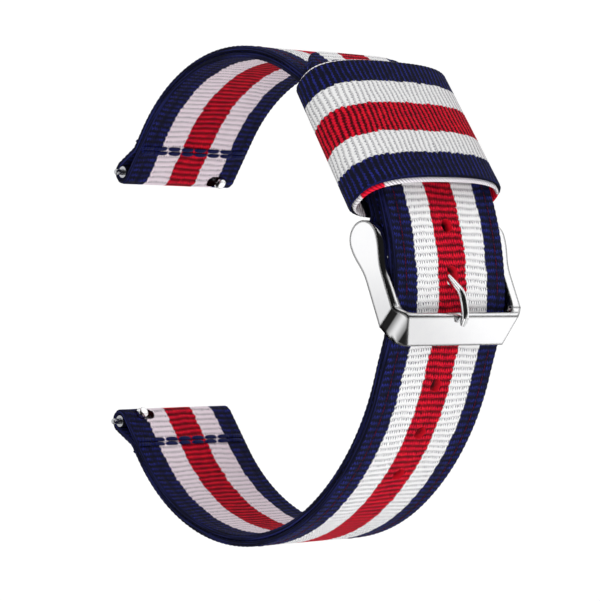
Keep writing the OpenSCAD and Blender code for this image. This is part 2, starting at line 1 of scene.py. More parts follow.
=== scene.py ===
"""Striped nylon watch strap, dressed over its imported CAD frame.

All shapes are worked out in millimetres, in the CAD frame, and put into the meshes in metres.
Z runs across the strap, the loop's centre is the origin and the buckle is towards +X.
"""
import math
import bmesh
import bpy
import mathutils
import numpy as np
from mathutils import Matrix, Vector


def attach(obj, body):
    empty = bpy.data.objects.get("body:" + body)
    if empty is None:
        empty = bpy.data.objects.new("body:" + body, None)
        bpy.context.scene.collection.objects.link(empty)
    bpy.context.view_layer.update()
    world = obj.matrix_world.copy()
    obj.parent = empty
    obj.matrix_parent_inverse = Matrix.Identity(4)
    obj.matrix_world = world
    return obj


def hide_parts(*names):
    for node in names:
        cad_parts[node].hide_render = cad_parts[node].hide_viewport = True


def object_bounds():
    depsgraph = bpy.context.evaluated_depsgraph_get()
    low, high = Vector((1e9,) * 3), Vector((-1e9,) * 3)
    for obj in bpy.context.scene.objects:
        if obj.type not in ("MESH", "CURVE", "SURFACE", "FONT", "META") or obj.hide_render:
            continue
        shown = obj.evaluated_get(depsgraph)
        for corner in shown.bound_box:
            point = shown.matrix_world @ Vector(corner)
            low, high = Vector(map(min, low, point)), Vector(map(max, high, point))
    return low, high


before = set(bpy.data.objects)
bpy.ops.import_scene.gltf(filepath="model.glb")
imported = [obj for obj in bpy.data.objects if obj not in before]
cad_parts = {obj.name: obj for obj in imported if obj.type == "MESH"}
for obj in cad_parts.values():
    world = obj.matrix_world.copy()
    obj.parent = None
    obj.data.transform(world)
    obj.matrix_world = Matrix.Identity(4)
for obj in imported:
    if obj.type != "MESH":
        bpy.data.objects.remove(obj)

cad_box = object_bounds()
MM = 0.001

# Sizes of the CAD model, in millimetres and degrees
STRAP_W, PLY = 20.0, 0.85
STRAP_T = 2 * PLY
LOOP_R, UPPER_ARC, UPPER_CURL_R, UPPER_CURL_ARC, UPPER_END = 33.4, 62.0, 22.9, 82.0, 7.5
LOWER_ARC, LOWER_CURL_R, LOWER_CURL_ARC, LOWER_END = 53.0, 25.1, 90.0, 6.8
LAY_GAP, STEP_IN, STEP_TO = 0.2, 1.1, 17.0
TAIL_LEN, TIP_CORNER = 36.0, 5.0
HOLE_D, HOLE_PITCH, HOLES_BELOW, HOLES_ABOVE, USED_HOLE = 2.0, 6.8, 4, 2, 3.0
FOLD_RUN, BUCKLE_FOLD_RUN = 4.2, 3.0
FOLD_R = 1.725
PIN_ANGLE = 12.1
KEEPER_ANGLE, KEEPER_LEN, KEEPER_T, KEEPER_SIDE = 36.4, 19.5, 0.9, 1.5
KEEPER_GAP, KEEPER_SQUARE = 0.1, 2.8
KNOB_Z, KNOB_SLOT, KNOB_TRAVEL = 7.0, 1.9, 1.3
RING_WINDOW = 2.8
TAIL_R = LOOP_R + STRAP_T + LAY_GAP
LOW_R = TAIL_R - STEP_IN

# Webbing: pitch and height of its ribs, rows of points on each, and how round its selvedges are
RIB, RIB_H, RIB_STEPS, SELVEDGE = 0.88, 0.07, 6, 0.36
ROW_STEP = RIB / RIB_STEPS
# The ribs wander in waves: length across, length along, and size
RIB_WAVES = (14.0, 31.0, 0.11), (5.3, 12.0, 0.05), (2.4, 5.0, 0.025), (1.3, 3.1, 0.015)
FACES_ACROSS = 38


def polar(r, a):
    """Points at radius r and angle a in degrees, r and a being numbers or arrays."""
    return np.stack([r * np.cos(np.radians(a)), r * np.sin(np.radians(a))], axis=-1)


def arc(centre, r, a0, a1, step=0.15):
    """Points along a circle's arc from angle a0 to a1, about step millimetres apart."""
    n = max(4, int(abs(math.radians(a1 - a0)) * r / step))
    return np.asarray(centre) + polar(r, np.linspace(a0, a1, n + 1))


def fold_lead(run):
    """Angle at which a fold's ramp leaves its eye: that of the fold's extra width over its run."""
    return math.degrees(math.atan((2 * FOLD_R - STRAP_T) / run))


def even(points, closed=False, soften=5):
    """The line through points, resampled at every ROW_STEP and averaged over a few of them."""
    if closed:
        points = np.vstack([points, points[:1]])
    far = np.concatenate([[0], np.cumsum(np.linalg.norm(np.diff(points, axis=0), axis=1))])
    n = int(round(far[-1] / ROW_STEP))
    at = np.linspace(0, far[-1], n + 1)[: n if closed else n + 1]
    line = np.stack([np.interp(at, far, points[:, k]) for k in range(points.shape[1])], axis=1)
    kernel = np.ones(soften) / soften
    if closed:
        wide = np.vstack([line[-soften:], line, line[:soften]])
    else:
        before = 2 * line[0] - line[soften:0:-1]
        after = 2 * line[-1] - line[-2:-soften - 2:-1]
        wide = np.vstack([before, line, after])
    soft = np.stack([np.convolve(wide[:, k], kernel, "same") for k in range(wide.shape[1])], axis=1)
    return soft[soften:-soften], at


def left_normals(line, closed):
    """Unit normals to the left of a line of 2D points."""
    if closed:
        along = np.roll(line, -1, axis=0) - np.roll(line, 1, axis=0)
    else:
        along = np.gradient(line, axis=0)
    along /= np.linalg.norm(along, axis=1, keepdims=True)
    return np.stack([-along[:, 1], along[:, 0]], axis=1)


def rib_phase(s, z, pitch, seed):
    """Which rib a point of the webbing is on.

    It is the length along the webbing, bent by slow waves, over the pitch.
    """
    rng = np.random.default_rng(seed)
    wave = np.zeros(np.broadcast(s, z).shape)
    for length_z, length_s, size in RIB_WAVES:
        turn = rng.uniform(0, 2 * math.pi, 2)
        drift = 1.6 * np.sin(2 * math.pi * s / length_s + turn[1])
        wave = wave + size * np.sin(2 * math.pi * z / length_z + turn[0] + drift)
    return (s + wave) / pitch


def new_mesh(name, points, faces, uvs=None, smooth=True):
    """A mesh object from points in millimetres and an array of faces with 3 or 4 corners each.

    uvs holds the UV maps by name, with two numbers for each face corner.
    """
    mesh = bpy.data.meshes.new(name)
    n, k = faces.shape
    mesh.vertices.add(len(points))
    mesh.vertices.foreach_set("co", (np.asarray(points) * MM).astype(np.float32).ravel())
    mesh.loops.add(n * k)
    mesh.loops.foreach_set("vertex_index", faces.astype(np.int32).ravel())
    mesh.polygons.add(n)
    mesh.polygons.foreach_set("loop_start", np.arange(0, n * k, k, dtype=np.int32))
    mesh.polygons.foreach_set("use_smooth", np.full(n, smooth))
    mesh.update(calc_edges=True)
    for uv_name, values in (uvs or {}).items():
        layer = mesh.uv_layers.new(name=uv_name)
        layer.data.foreach_set("uv", values.astype(np.float32).ravel())
    mesh.validate()
    obj = bpy.data.objects.new(name, mesh)
    bpy.context.scene.collection.objects.link(obj)
    return obj


def grid_faces(n, m, closed_n, closed_m):
    """Quads of an n by m grid of points, with either direction closed on itself."""
    i = np.arange(n if closed_n else n - 1)[:, None]
    k = np.arange(m if closed_m else m - 1)[None, :]
    i2, k2 = (i + 1) % n, (k + 1) % m
    i, k, i2, k2 = np.broadcast_arrays(i, k, i2, k2)
    corners = np.stack([i * m + k, i * m + k2, i2 * m + k2, i2 * m + k], axis=-1)
    return corners.reshape(-1, 4)


def close_ends(obj, turn_out=False):
    """Fills a piece's open ends, and if asked turns its faces outwards."""
    bm = bmesh.new()
    bm.from_mesh(obj.data)
    bmesh.ops.holes_fill(bm, edges=[e for e in bm.edges if e.is_boundary], sides=0)
    if turn_out:
        bmesh.ops.recalc_face_normals(bm, faces=bm.faces)
    bm.to_mesh(obj.data)
    bm.free()


def section(thick, hidden_gap=0.02, edge_steps=5):
    """Outline of a webbing's cross section, from its visible face round to its hidden one.

    The visible face is flat, both selvedges are half ellipses, and the hidden face is flat.
    Returns each point's height, its place across as a share of the flat part and the bulge
    added to it, the outline's own normal, and how far the ribs reach there.
    """
    top, low = thick / 2, -(thick / 2 - hidden_gap)
    mid, tall = (top + low) / 2, (top - low) / 2
    flat = np.linspace(-1, 1, FACES_ACROSS + 1)
    turn = np.radians(np.linspace(90, -90, edge_steps + 2))[1:-1]
    back = np.linspace(1, -1, 4)
    side = mid + tall * np.sin(turn)
    bulge = SELVEDGE * np.cos(turn)
    low_ribs = np.clip(0.12 + np.sin(turn), 0, 1)
    height = np.concatenate([np.full(flat.shape, top), side, np.full(back.shape, low), side[::-1]])
    share = np.concatenate([flat, np.ones(turn.shape), back, -np.ones(turn.shape)])
    bulge = np.concatenate([0 * flat, bulge, 0 * back, -bulge[::-1]])
    normal_n = np.concatenate([1 + 0 * flat, np.sin(turn), -1 + 0 * back, np.sin(turn[::-1])])
    normal_z = np.concatenate([0 * flat, np.cos(turn), 0 * back, -np.cos(turn[::-1])])
    ribbed = np.concatenate([np.ones(flat.shape), low_ribs, 0 * back, low_ribs[::-1]])
    return height, share, bulge, normal_n, normal_z, ribbed


def past_seam(values, whole, slack):
    """Face corners of a closed ribbon, with those past its seam raised by a whole turn."""
    return np.where(values < values.max(axis=1, keepdims=True) - slack, values + whole, values)


XY_PLANE = ((0, 0, 0), (1, 0, 0), (0, 1, 0))


def webbing(name, line, at, closed, half_w, thick, seed, basis=XY_PLANE, pitch=RIB,
            mirror=False, shape=None):
    """A ribbed woven ribbon: its cross section carried along a line of a plane.

    line holds the ribbon's middle line and at its lengths. Each point is the line's point,
    plus the section's height along the line's left normal, plus its place across along the
    plane's own normal. The ribs take away RIB_H times one minus the absolute sine of pi times
    the rib phase. The first UV map holds (length along, place across) in millimetres, and the
    second one (rib phase, height in the section).
    """
    origin, e1, e2 = (np.asarray(v, float) for v in basis)
    e3 = np.cross(e1, e2)
    normals = left_normals(line, closed)
    n, share, bulge, normal_n, normal_z, ribbed = section(thick)
    half = np.broadcast_to(np.asarray(half_w, float), at.shape)[:, None]
    z = share[None, :] * (half - SELVEDGE) + bulge[None, :]
    s = np.broadcast_to(at[:, None], z.shape)
    phase = rib_phase(s, z, pitch, seed)
    length = at[-1] + at[1]
    if closed:
        # The phase grows by a whole number of ribs over the closed length
        ends = rib_phase(np.array([0.0, length]), np.zeros(2), pitch, seed)
        turn = float(ends[1] - ends[0])
        phase = phase * (round(turn) / turn)
    valley = (1 - np.abs(np.sin(math.pi * phase)) ** 0.9) * RIB_H * ribbed[None, :]
    height = n[None, :] - valley * normal_n[None, :]
    place = z - valley * normal_z[None, :]
    if mirror:
        line = line * [1, -1]
        normals = normals * [1, -1]
    flat = line[:, None, :] + height[..., None] * normals[:, None, :]
    points = origin + flat[..., :1] * e1 + flat[..., 1:] * e2 + place[..., None] * e3
    if shape is not None:
        points = shape(points)
    rows, cols = z.shape
    faces = grid_faces(rows, cols, closed, True)
    corner_s, corner_phase = s.ravel()[faces], phase.ravel()[faces]
    if closed:
        corner_s = past_seam(corner_s, length, 5)
        corner_phase = past_seam(corner_phase, round(float(length / pitch)), 3)
    corner_n = np.broadcast_to(n[None, :], z.shape).ravel()[faces]
    uvs = {
        "cloth": np.stack([corner_s, z.ravel()[faces]], axis=-1),
        "ribs": np.stack([corner_phase, corner_n], axis=-1),
    }
    if mirror:
        faces = faces[:, ::-1]
        uvs = {k: v[:, ::-1] for k, v in uvs.items()}
    obj = new_mesh(name, points.reshape(-1, 3), faces, uvs)
    if not closed:
        close_ends(obj)
    return obj


# The two straps


def end_point(r, a, curl_r, curl_a, length, off):
    """Point at a strap's end: its curl's last point, then length along the end's direction."""
    last = a + curl_a
    way = np.array([-math.sin(math.radians(last)), math.cos(math.radians(last))])
    return polar(r - curl_r, a) + polar(curl_r + off, last) + length * way


def lug_part(r, a, curl_r, curl_a, length):
    """Middle line of a ply from the end of the round part, round the watch bar and back outside."""
    centre = polar(r - curl_r, a)
    last = a + curl_a
    bar = end_point(r, a, curl_r, curl_a, length, FOLD_R)
    inner, outer = PLY / 2, STRAP_T - PLY / 2
    return np.vstack([
        arc(centre, curl_r + inner, a, last),
        arc(bar, FOLD_R - PLY / 2, last + 180, last - fold_lead(FOLD_RUN), 0.08),
        end_point(r, a, curl_r, curl_a, length - FOLD_RUN, outer)[None, :],
        arc(centre, curl_r + outer, last, a),
    ])


UPPER_END_SHAPE = (LOOP_R, UPPER_ARC, UPPER_CURL_R, UPPER_CURL_ARC, UPPER_END)
LOWER_END_SHAPE = (LOW_R, LOWER_ARC, LOWER_CURL_R, LOWER_CURL_ARC, LOWER_END)
UPPER_BAR = end_point(*UPPER_END_SHAPE, FOLD_R)
LOWER_BAR = end_point(*LOWER_END_SHAPE, FOLD_R) * [1, -1]
UPPER_LEAN, LOWER_LEAN = UPPER_ARC + UPPER_CURL_ARC, -(LOWER_ARC + LOWER_CURL_ARC)
PIN = polar(LOOP_R + STRAP_T - FOLD_R, PIN_ANGLE)
RUN_OUT = PIN_ANGLE + math.degrees(BUCKLE_FOLD_RUN / LOOP_R)


def buckle_strap():
    """The short strap: one ribbon sewn into a flat ring, round the watch and buckle bars."""
    pin_end = PIN_ANGLE - 180 - fold_lead(BUCKLE_FOLD_RUN)
    path = np.vstack([
        arc((0, 0), LOOP_R + PLY / 2, RUN_OUT, UPPER_ARC)[:-1],
        lug_part(*UPPER_END_SHAPE),
        arc((0, 0), LOOP_R + STRAP_T - PLY / 2, UPPER_ARC, PIN_ANGLE)[1:],
        arc(PIN, FOLD_R - PLY / 2, PIN_ANGLE, pin_end, 0.08)[1:],
    ])
    line, at = even(path, closed=True)
    return webbing("buckle_strap_webbing", line, at, True, STRAP_W / 2, PLY, 11), line


def hole_strap_r(a):
    """Inner radius of the long strap at an angle counted downwards.

    Below the buckle it draws in by STEP_IN, along a smooth step.
    """
    u = np.clip(a / STEP_TO, 0, 1)
    return TAIL_R - STEP_IN * u * u * (3 - 2 * u)


def tail_angle(length):
    """Angle that a length along the tail takes up."""
    return math.degrees(length / TAIL_R)


TIP_ANGLE = USED_HOLE + tail_angle(TAIL_LEN)


def hole_strap():
    """The long strap: one ribbon from the tail's tip round the watch bar and back to the tip.

    Its half width falls off at the tip as a quarter circle.
    """
    a = np.linspace(-TIP_ANGLE, LOWER_ARC, 400)
    inner = polar(hole_strap_r(a) + PLY / 2, a)
    outer = polar(hole_strap_r(a) + STRAP_T - PLY / 2, a)[::-1]
    line, at = even(np.vstack([inner[:-1], lug_part(*LOWER_END_SHAPE), outer[1:]]))
    from_tip = np.minimum(at, at[-1] - at)
    corner = np.clip(1 - from_tip / TIP_CORNER, 0, 1)
    # A little short of the whole quarter circle, so that the outline stays smooth at the tip
    half_w = STRAP_W / 2 - TIP_CORNER + TIP_CORNER * np.sqrt(1 - 0.995 * corner ** 2)
    return webbing("hole_strap_webbing", line, at, False, half_w, PLY, 23, mirror=True), line


def slot_cutter(name, start, end, r, axis, depth):
    """A closed slot shape: half circles round start and end in the plane across axis.

    It is depth thick and centred on that plane.
    """
    start, end, axis = (np.asarray(v, float) for v in (start, end, axis))
    axis = axis / np.linalg.norm(axis)
    along = end - start
    side = np.cross(axis, along if np.linalg.norm(along) > 1e-6 else np.array([0.0, 0.0, 1.0]))
    side /= np.linalg.norm(side)
    ahead = np.cross(side, axis)
    t = np.radians(np.linspace(-90, 90, 17))[:, None]
    half = r * (np.cos(t) * ahead + np.sin(t) * side)
    ring = np.vstack([end + half, start - half])
    n = len(ring)
    down, up = -axis * depth / 2, axis * depth / 2
    middle = ring.mean(axis=0)
    points = np.vstack([ring + down, ring + up, [middle + down], [middle + up]])
    k = np.arange(n)
    k2 = (k + 1) % n
    faces = np.concatenate([
        np.stack([k, k2, k2 + n], axis=1),
        np.stack([k, k2 + n, k + n], axis=1),
        np.stack([k2, k, np.full(n, 2 * n)], axis=1),
        np.stack([k + n, k2 + n, np.full(n, 2 * n + 1)], axis=1),
    ])
    a, b, c = (points[faces[:, i]] for i in range(3))
    if np.einsum("ij,ij->i", a, np.cross(b, c)).sum() < 0:
        faces = faces[:, ::-1]
    uv = {"cloth": np.zeros((len(faces), 3, 2)), "ribs": np.full((len(faces), 3, 2), -9.0)}
    return new_mesh(name, points, faces, uv, smooth=False)


def cut(obj, cutters, cut_material):
    """Takes the cutters out of a piece, with the cut faces in their own material."""
    for c in cutters:
        c.data.materials.clear()
        c.data.materials.append(cut_material)
        mod = obj.modifiers.new(c.name, "BOOLEAN")
        mod.operation = "DIFFERENCE"
        mod.object = c
        mod.solver = "MANIFOLD"
        mod.material_mode = "TRANSFER"
    graph = bpy.context.evaluated_depsgraph_get()
    whole = obj.evaluated_get(graph)
    made = bpy.data.meshes.new_from_object(whole, preserve_all_data_layers=True, depsgraph=graph)
    obj.modifiers.clear()
    obj.data = made
    for c in cutters:
        bpy.data.objects.remove(c)


# Shader helpers

# Depth in metres of a bump whose height is 1
BUMP = 0.00004


class Sock:
    """A shader output that Python's operators add Math nodes to."""

    def __init__(self, tree, out):
        self.tree, self.out = tree, out

    def _math(self, kind, *others, clamp=False, backwards=False):
        values = (self,) + others
        settings = {"operation": kind, "use_clamp": clamp}
        inputs = dict(enumerate(values[::-1] if backwards else values))
        return self.tree.node("ShaderNodeMath", settings, inputs)

    def __add__(self, o): return self._math("ADD", o)
    def __radd__(self, o): return self._math("ADD", o)
    def __sub__(self, o): return self._math("SUBTRACT", o)
    def __rsub__(self, o): return self._math("SUBTRACT", o, backwards=True)
    def __mul__(self, o): return self._math("MULTIPLY", o)
    def __rmul__(self, o): return self._math("MULTIPLY", o)
    def __truediv__(self, o): return self._math("DIVIDE", o)
    def __pow__(self, o): return self._math("POWER", o)
    def abs(self): return self._math("ABSOLUTE")
    def sin(self): return self._math("SINE")
    def floor(self): return self._math("FLOOR")
    def frac(self): return self._math("FRACT")
    def clamp(self): return self._math("ADD", 0.0, clamp=True)
    def above(self, o): return self._math("GREATER_THAN", o)
    def below(self, o): return self._math("LESS_THAN", o)

    def step(self, low, high):
        """Smooth step from 0 at low to 1 at high."""
        inputs = {"Value": self, "From Min": low, "From Max": high}
        return self.tree.node("ShaderNodeMapRange", {"interpolation_type": "SMOOTHSTEP"}, inputs)


class Tree:
    """A new material's nodes, with its main shader as bsdf."""

    def __init__(self, name, **constants):
        self.mat = bpy.data.materials.new(name)
        self.mat.use_nodes = True
        self.nodes, self.links = self.mat.node_tree.nodes, self.mat.node_tree.links
        self.bsdf = next(n for n in self.nodes if n.type == "BSDF_PRINCIPLED")
        for key, value in constants.items():
            self.bsdf.inputs[key.replace("_", " ")].default_value = value

    def put(self, socket, value):
        """Links or sets one input socket."""
        if isinstance(value, Sock):
            self.links.new(value.out, socket)
        elif isinstance(value, tuple) and len(value) == 3 and socket.type == "RGBA":
            socket.default_value = (*value, 1)
        else:
            socket.default_value = value

    def node(self, kind, settings=None, inputs=None, output=0):
        """Any node: its type, its settings, and the values or links of its sockets."""
        n = self.nodes.new(kind)
        for key, value in (settings or {}).items():
            setattr(n, key, value)
        for key, value in (inputs or {}).items():
            self.put(n.inputs[key], value)
        return Sock(self, n.outputs[output])

    def split(self, vector):
        """The three numbers of a vector."""
        node = self.node("ShaderNodeSeparateXYZ", None, {0: vector}).out.node
        return [Sock(self, node.outputs[i]) for i in range(3)]

    def uv(self, name):
        """The two numbers of a UV map."""
        return self.split(self.node("ShaderNodeUVMap", {"uv_map": name}))[:2]

    def place(self, output="Object"):
        """The point on the object, in metres, or another output of Texture Coordinate."""
        return self.node("ShaderNodeTexCoord", output=output)

    def ray(self, kind):
        """1 for rays of one kind, and 0 for others."""
        return self.node("ShaderNodeLightPath", output=f"Is {kind} Ray")

    def seen_or_mirrored(self):
        """1 for what is seen straight, mirrored or through glass, and 0 for the object's light."""
        return (self.ray("Camera") + self.ray("Glossy") + self.ray("Transmission")).clamp()

    def vector(self, x, y, z=0.0):
        """A vector of three numbers."""
        return self.node("ShaderNodeCombineXYZ", None, {0: x, 1: y, 2: z})

    def noise(self, vector, scale, detail=2.0):
        """Noise from 0 to 1."""
        inputs = {"Vector": vector, "Scale": scale, "Detail": detail}
        return self.node("ShaderNodeTexNoise", None, inputs)

    def random(self, value):
        """A random number from 0 to 1 for each value."""
        return self.node("ShaderNodeTexWhiteNoise", {"noise_dimensions": "1D"}, {"W": value})

    def mix(self, share, a, b, blend="MIX"):
        """Colour a turning into colour b by share."""
        settings = {"data_type": "RGBA", "blend_type": blend}
        return self.node("ShaderNodeMix", settings, {0: share, 6: a, 7: b}, 2)

    def bump(self, height, strength=1.0):
        """A normal bumped by a height."""
        inputs = {"Height": height, "Distance": BUMP, "Strength": strength}
        return self.node("ShaderNodeBump", None, inputs)

    def out(self, socket, value):
        """Feeds one socket of the main shader."""
        self.put(self.bsdf.inputs[socket], value)


def toward(direction, x, y, z):
    """Cosine of the angle between a ray and a direction."""
    v = np.asarray(direction, float)
    v = v / np.linalg.norm(v)
    return x * float(v[0]) + y * float(v[1]) + z * float(v[2])


def srgb(r, g, b):
    """A colour given as 0 to 255 on screen, as the linear numbers that a shader takes."""
    shares = (c / 255 for c in (r, g, b))
    return tuple(((c + 0.055) / 1.055) ** 2.4 if c > 10 / 255 else c / 12.92 for c in shares)


# Webbing and thread

# The navy's crest colour is a painted highlight, and the white's low colour is painted shade in its
# valleys
NAVY_LOW, NAVY_CREST_HIGHLIGHT = srgb(20, 21, 38), srgb(44, 50, 142)
RED_LOW, RED_HIGH = srgb(70, 8, 16), srgb(255, 20, 56)
WHITE_VALLEY_SHADE, WHITE_HIGH = srgb(132, 131, 138), srgb(255, 255, 255)
YARN_W, STRIPE_EDGE = 0.42, 0.04
SEAM_AT, SEAM_HALF = 8.3, 0.16


def webbing_material(name, red_to, white_to, centre=0.0, inner_to=0.0, seams=True,
                     half_w=STRAP_W / 2, weave=1.0, tone=1.0):
    """Ribbed striped webbing: red in the middle, then white, and navy at the edges.

    Red goes out to red_to from the centre and white to white_to. The stripes' edges bulge with
    each rib. Yarns cross each rib in a zigzag and lie half a yarn over from rib to rib. A crest
    takes a painted highlight and a valley painted shade, on top of the mesh's own ribs. Up to the
    length inner_to the webbing faces the wrist, where its white is a pink, slightly darker copy,
    as painted shade. The selvedges, half_w from the middle, have fine lines along them. A weave
    below 1 is a tighter, smoother one, and a tone below 1 darkens the cloth as painted shade.
    """
    t = Tree(name, Roughness=0.78, Specular_IOR_Level=0.08)
    along, across = t.uv("cloth")
    phase, height = t.uv("ribs")
    rib = phase.floor()
    jog = t.random(rib + 0.37) - 0.5
    grain = t.noise(t.vector(along, across * 1.4, height), 1.7) - 0.5
    fine = t.noise(t.vector(along, across, height), 5.0)
    patch = t.noise(t.vector(along * 0.55, across * 0.8, 3.0), 1.0, 3.0)

    # Which yarn a point is on, how near its middle, and how it bends the rib's ridge
    yarn_at = across / YARN_W + (rib * 0.5).frac() + grain * 1.1
    yarn = (yarn_at * math.pi).sin().abs().step(0.15, 0.85) * weave + (1.0 - weave) * 0.7
    zigzag = ((yarn_at.frac() - 0.5).abs() * 2.0 - 0.5) * 0.5 * weave
    ridge = ((phase + zigzag + (fine - 0.5) * 0.5) * math.pi).sin().abs()

    # The stripes' edges
    z = across - centre
    side = z.above(0.0) * 2.0 - 1.0
    out = z.abs()
    bulge = ridge * 0.16 + jog * side * 0.2 + grain * 0.34 - 0.08
    past_white = (out + bulge).step(white_to - STRIPE_EDGE, white_to + STRIPE_EDGE)
    past_red = (out - bulge).step(red_to - STRIPE_EDGE, red_to + STRIPE_EDGE)

    # Navy, red and white, each from painted shade in its valleys to a painted highlight on its
    # crests, over the mesh's own ribs
    # Painted highlight: a blue line of light along each navy rib's crest
    crest = ridge.step(0.8, 1.0) * (yarn * 0.6 + 0.4) * (patch.step(0.3, 0.62) * 0.75 + 0.25)
    navy = t.mix(crest, t.mix(fine, srgb(12, 13, 26), srgb(28, 29, 50)), NAVY_CREST_HIGHLIGHT)

    warm = t.mix((patch * 1.6 - 0.4).clamp(), srgb(206, 10, 62), srgb(255, 44, 30))
    # Painted light and shade: the red is bright on the crests and dark in the valleys
    glow = ridge.step(0.28, 1.0) ** 1.6 * (yarn * 0.65 + 0.4)
    glow = glow + (fine - 0.5) * 0.7 + (patch - 0.5) * 0.5
    scarlet = t.mix(glow.clamp(), RED_LOW, t.mix(0.4, RED_HIGH, warm))

    # Painted shade: grey in the valleys of the white
    shade = (1.0 - ridge.step(0.3, 0.95)) * (1.0 - yarn * 0.9) * 1.5 + (fine - 0.5) * 0.3
    pale = t.mix(shade.clamp(), WHITE_HIGH, WHITE_VALLEY_SHADE)
    # Painted shade: the white on the faces towards the wrist is a pink, slightly darker copy
    if inner_to:
        pale = t.mix(along.below(inner_to) * 0.85, pale, srgb(255, 240, 249), "MULTIPLY")

    # Colour and relief, with the sewn groove along each edge and the selvedge's lines
    colour = t.mix(past_white, t.mix(past_red, scarlet, pale), navy)
    relief = yarn * (0.4 + 0.6 * ridge) + (fine - 0.5) * 0.8
    if seams:
        groove = (out - SEAM_AT).abs().step(SEAM_HALF, SEAM_HALF * 2.5)
        colour = t.mix(groove * 0.55 + 0.45, NAVY_LOW, colour)
        relief = relief + groove * 3.0
    streak = t.noise(t.vector(along * 0.15, height * 6.0, across * 5.0), 1.0).step(0.45, 0.7)
    rim = (across.abs() - (half_w - 0.3)).step(0.0, 0.14)
    colour = t.mix(rim, colour, t.mix(streak, srgb(14, 15, 30), srgb(34, 38, 92)))
    # A tone below 1 darkens the whole cloth, as painted shade
    t.out("Base Color", t.mix(1.0, colour, (tone, tone, tone), "MULTIPLY"))
    t.out("Normal", t.bump(relief))
    return t.mat


def lining_material(name, length):
    """Twill tape: white along the keeper's front, red where it turns in, with slanting lines of
    painted shade in the twill's grooves.

    The far side, in the middle of its length, is navy.
    """
    t = Tree(name, Roughness=0.7, Specular_IOR_Level=0.2)
    along, across = t.uv("cloth")
    height = t.uv("ribs")[1]
    slant = ((along * 1.9 + height * 2.6 + across * 0.8) * math.pi).sin().abs()
    # Painted shade: the white and the red go darker in the twill's grooves
    white = t.mix(slant.step(0.1, 0.7), srgb(168, 154, 166), srgb(252, 249, 252))
    red = t.mix(slant ** 0.6, RED_LOW, RED_HIGH)

    def between(start, end, soft=0.3):
        """1 on the length between start and end."""
        return along.step(start, start + soft) - along.step(end, end + soft)

    turned = between(9.6, 12.9) + between(length - 15.6, length - 12.0)
    dark = along.step(18.5, 19.0) - along.step(length - 18.6, length - 18.3)
    colour = t.mix(turned.clamp() * across.above(0.0), white, red)
    t.out("Base Color", t.mix(dark.clamp(), colour, NAVY_LOW))
    t.out("Normal", t.bump(slant, 0.8))
    return t.mat


def cut_face_shade_material(name):
    """Cut edge of the webbing: bright red near the outer face, and darker further in, as painted
    shade.

    A faint emission paints a red glow near the outer face. The depth is the distance from the
    loop's centre, corrected below the buckle, where the strap draws in.
    """
    t = Tree(name, Roughness=0.6, Specular_IOR_Level=0.1, Emission_Strength=0.11)
    where = t.place()
    x, y, _ = t.split(where)
    far = (x * x + y * y) ** 0.5 + (1.0 - y.step(-0.0095, 0.0)) * (STEP_IN * MM)
    ragged_shade_reach = far + (t.noise(where, 2500.0) - 0.5) * 0.0008
    # Painted shade: the cut face goes from bright red at the outer face to nearly black further in
    depth = ragged_shade_reach.step((TAIL_R + 0.1) * MM, (TAIL_R + STRAP_T - 0.2) * MM)
    t.out("Base Color", t.mix(depth, srgb(30, 4, 10), srgb(206, 20, 40)))
    # Painted glow: a faint red emission, strongest near the outer face
    t.out("Emission Color", t.mix(depth, srgb(30, 2, 6), srgb(220, 18, 38)))
    t.out("Roughness", 0.55 + depth * 0.1)
    return t.mat


def thread_material(name, low, high):
    """Twisted sewing thread: two strands that wind round it, with a painted highlight on each
    strand's top and painted shade between them.
    """
    t = Tree(name, Roughness=0.6, Specular_IOR_Level=0.12)
    along, turn = t.uv("thread")
    strand = ((along * 2.2 + turn) * math.pi).sin().abs()
    # Painted highlight and shade: the colour follows each strand's relief
    t.out("Base Color", t.mix(strand ** 1.5, low, high))
    t.out("Normal", t.bump(strand, 0.8))
    return t.mat


# Metal

# The ways that the buckle's front bar and its lower corners' facets face
FRONT_WAY = (math.cos(math.radians(24)), -math.sin(math.radians(24)), 0.0)
FACET_WAY = (0.543, -0.506, 0.67)
# The facets' middle, and their dome: how fast the normal leans per metre, inwards and outwards
FACET_Z, FACET_DOME, DOME_X, DOME_Z = 10.3, 200.0, -0.777, 0.63


